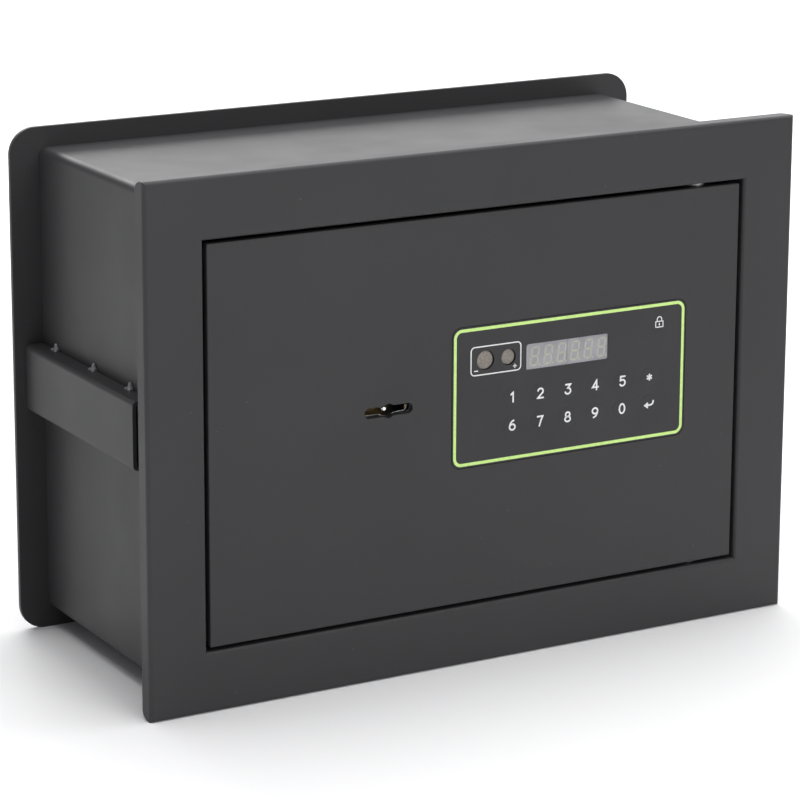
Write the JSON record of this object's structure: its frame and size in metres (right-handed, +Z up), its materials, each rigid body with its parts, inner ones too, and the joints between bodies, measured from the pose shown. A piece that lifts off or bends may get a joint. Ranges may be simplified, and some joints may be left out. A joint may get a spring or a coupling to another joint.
{
  "type": "wall safe",
  "caption": "Wall-embedding safe with a motorised electronic lock: folded front frame, hinged door with flush keypad and display, key slot, side anchor channels and a rear flange.",
  "frame": {"origin": "middle of the base: centre of the overall box in X and Y, on the plane the safe stands on", "axes": "+X to the right seen from the front, +Y from the front face to the rear plate, +Z up"},
  "size_m": [0.35, 0.15, 0.25],
  "materials": {
    "graphite_powder_coat": "satin powder coat with a fine orange-peel texture",
    "keypad_film": "smooth satin printed film",
    "plated_steel": "zinc plated steel",
    "bright_steel": "bright plated steel",
    "zinc_plate": "dull zinc plated sheet",
    "brass": "satin brass",
    "contact_metal": "dull brown conductive contact",
    "display_window": "clear smooth window",
    "display_grey": "light grey display face",
    "board_green": "green solder mask",
    "black_plastic": "moulded satin plastic",
    "red_plastic": "glossy moulded plastic",
    "battery_sleeve": "printed plastic sleeve",
    "grey_felt": "needled felt"
  },
  "bodies": {
    "safe_body": {"body_shell": "graphite_powder_coat", "rear_plate": "graphite_powder_coat", "front_frame": "graphite_powder_coat", "anchor_channel_left": "graphite_powder_coat", "anchor_channel_right": "graphite_powder_coat", "floor_mat": "grey_felt", "hinge_pin_upper": "plated_steel", "hinge_pin_lower": "plated_steel", "hinge_washer_upper": "plated_steel", "hinge_washer_lower": "plated_steel"},
    "door": {"door_plate": "graphite_powder_coat", "door_pan": "graphite_powder_coat", "inner_cover": "graphite_powder_coat", "cover_screw_1": "plated_steel", "cover_screw_2": "plated_steel", "cover_screw_3": "plated_steel", "cover_screw_4": "plated_steel", "hinge_lug_upper": "graphite_powder_coat", "hinge_lug_lower": "graphite_powder_coat", "keypad_overlay": "keypad_film", "display_window": "display_window", "display_module_left": "display_grey", "display_module_right": "display_grey", "battery_contact_negative": "contact_metal", "battery_contact_positive": "contact_metal", "circuit_board": "board_green", "gearbox": "black_plastic", "drive_motor": "plated_steel", "guide_pin_1": "plated_steel", "guide_pin_2": "plated_steel", "guide_pin_3": "plated_steel", "limit_switch": "black_plastic", "lock_case": "zinc_plate", "key_pin": "bright_steel", "lever_spring": "bright_steel", "battery_box": "black_plastic", "battery_pack": "battery_sleeve", "motor_lead": "black_plastic", "battery_lead": "red_plastic"},
    "bolt_work": {"bolt_carriage": "zinc_plate", "bolt_lower": "bright_steel", "bolt_upper": "bright_steel"},
    "pinion": {"drive_pinion": "brass"},
    "cam": {"key_cam": "brass"},
    "levers": {"lock_levers": "brass"},
    "lid": {"battery_lid": "black_plastic"},
    "reset": {"reset_button": "red_plastic"},
    "key_1_button": {"key_1": "keypad_film"},
    "key_2_button": {"key_2": "keypad_film"},
    "key_3_button": {"key_3": "keypad_film"},
    "key_4_button": {"key_4": "keypad_film"},
    "key_5_button": {"key_5": "keypad_film"},
    "key_star_button": {"key_star": "keypad_film"},
    "key_6_button": {"key_6": "keypad_film"},
    "key_7_button": {"key_7": "keypad_film"},
    "key_8_button": {"key_8": "keypad_film"},
    "key_9_button": {"key_9": "keypad_film"},
    "key_0_button": {"key_0": "keypad_film"},
    "key_enter_button": {"key_enter": "keypad_film"}
  },
  "joints": [
    {"name": "door_hinge", "type": "hinge", "parent": "safe_body", "child": "door", "pos_m": [0.123, -0.0655, 0.125], "axis": [0, 0, 1], "range_deg": [0, 95]},
    {"name": "bolt_slide", "type": "slide", "parent": "door", "child": "bolt_work", "axis": [-1, 0, 0], "range_m": [0, 0.013]},
    {"name": "pinion_spin", "type": "hinge", "parent": "door", "child": "pinion", "pos_m": [-0.078, -0.0505, 0.07925], "axis": [0, 1, 0], "range_deg": [0, 125]},
    {"name": "cam_turn", "type": "hinge", "parent": "door", "child": "cam", "pos_m": [-0.051, -0.0582, 0.1305], "axis": [0, 1, 0], "range_deg": [0, 90]},
    {"name": "lever_swing", "type": "hinge", "parent": "door", "child": "levers", "pos_m": [-0.07, -0.063, 0.118], "axis": [0, -1, 0], "range_deg": [0, 5], "stiffness_Nm_per_rad": 0.02, "springref_deg": -11.46},
    {"name": "lid_slide", "type": "slide", "parent": "door", "child": "lid", "axis": [-1, 0, 0], "range_m": [0, 0.012]},
    {"name": "reset_slide", "type": "slide", "parent": "door", "child": "reset", "axis": [0, -1, 0], "range_m": [0, 0.0012], "stiffness_N_per_m": 600, "springref_m": -0.001},
    {"name": "key_1_press", "type": "slide", "parent": "door", "child": "key_1_button", "axis": [0, 1, 0], "range_m": [0, 0.0004], "stiffness_N_per_m": 2500, "springref_m": -0.0002},
    {"name": "key_2_press", "type": "slide", "parent": "door", "child": "key_2_button", "axis": [0, 1, 0], "range_m": [0, 0.0004], "stiffness_N_per_m": 2500, "springref_m": -0.0002},
    {"name": "key_3_press", "type": "slide", "parent": "door", "child": "key_3_button", "axis": [0, 1, 0], "range_m": [0, 0.0004], "stiffness_N_per_m": 2500, "springref_m": -0.0002},
    {"name": "key_4_press", "type": "slide", "parent": "door", "child": "key_4_button", "axis": [0, 1, 0], "range_m": [0, 0.0004], "stiffness_N_per_m": 2500, "springref_m": -0.0002},
    {"name": "key_5_press", "type": "slide", "parent": "door", "child": "key_5_button", "axis": [0, 1, 0], "range_m": [0, 0.0004], "stiffness_N_per_m": 2500, "springref_m": -0.0002},
    {"name": "key_star_press", "type": "slide", "parent": "door", "child": "key_star_button", "axis": [0, 1, 0], "range_m": [0, 0.0004], "stiffness_N_per_m": 2500, "springref_m": -0.0002},
    {"name": "key_6_press", "type": "slide", "parent": "door", "child": "key_6_button", "axis": [0, 1, 0], "range_m": [0, 0.0004], "stiffness_N_per_m": 2500, "springref_m": -0.0002},
    {"name": "key_7_press", "type": "slide", "parent": "door", "child": "key_7_button", "axis": [0, 1, 0], "range_m": [0, 0.0004], "stiffness_N_per_m": 2500, "springref_m": -0.0002},
    {"name": "key_8_press", "type": "slide", "parent": "door", "child": "key_8_button", "axis": [0, 1, 0], "range_m": [0, 0.0004], "stiffness_N_per_m": 2500, "springref_m": -0.0002},
    {"name": "key_9_press", "type": "slide", "parent": "door", "child": "key_9_button", "axis": [0, 1, 0], "range_m": [0, 0.0004], "stiffness_N_per_m": 2500, "springref_m": -0.0002},
    {"name": "key_0_press", "type": "slide", "parent": "door", "child": "key_0_button", "axis": [0, 1, 0], "range_m": [0, 0.0004], "stiffness_N_per_m": 2500, "springref_m": -0.0002},
    {"name": "key_enter_press", "type": "slide", "parent": "door", "child": "key_enter_button", "axis": [0, 1, 0], "range_m": [0, 0.0004], "stiffness_N_per_m": 2500, "springref_m": -0.0002}
  ],
  "couplings": [
    {"joint": "pinion_spin", "follows": "bolt_slide", "rad_per_m": 166.67}
  ]
}
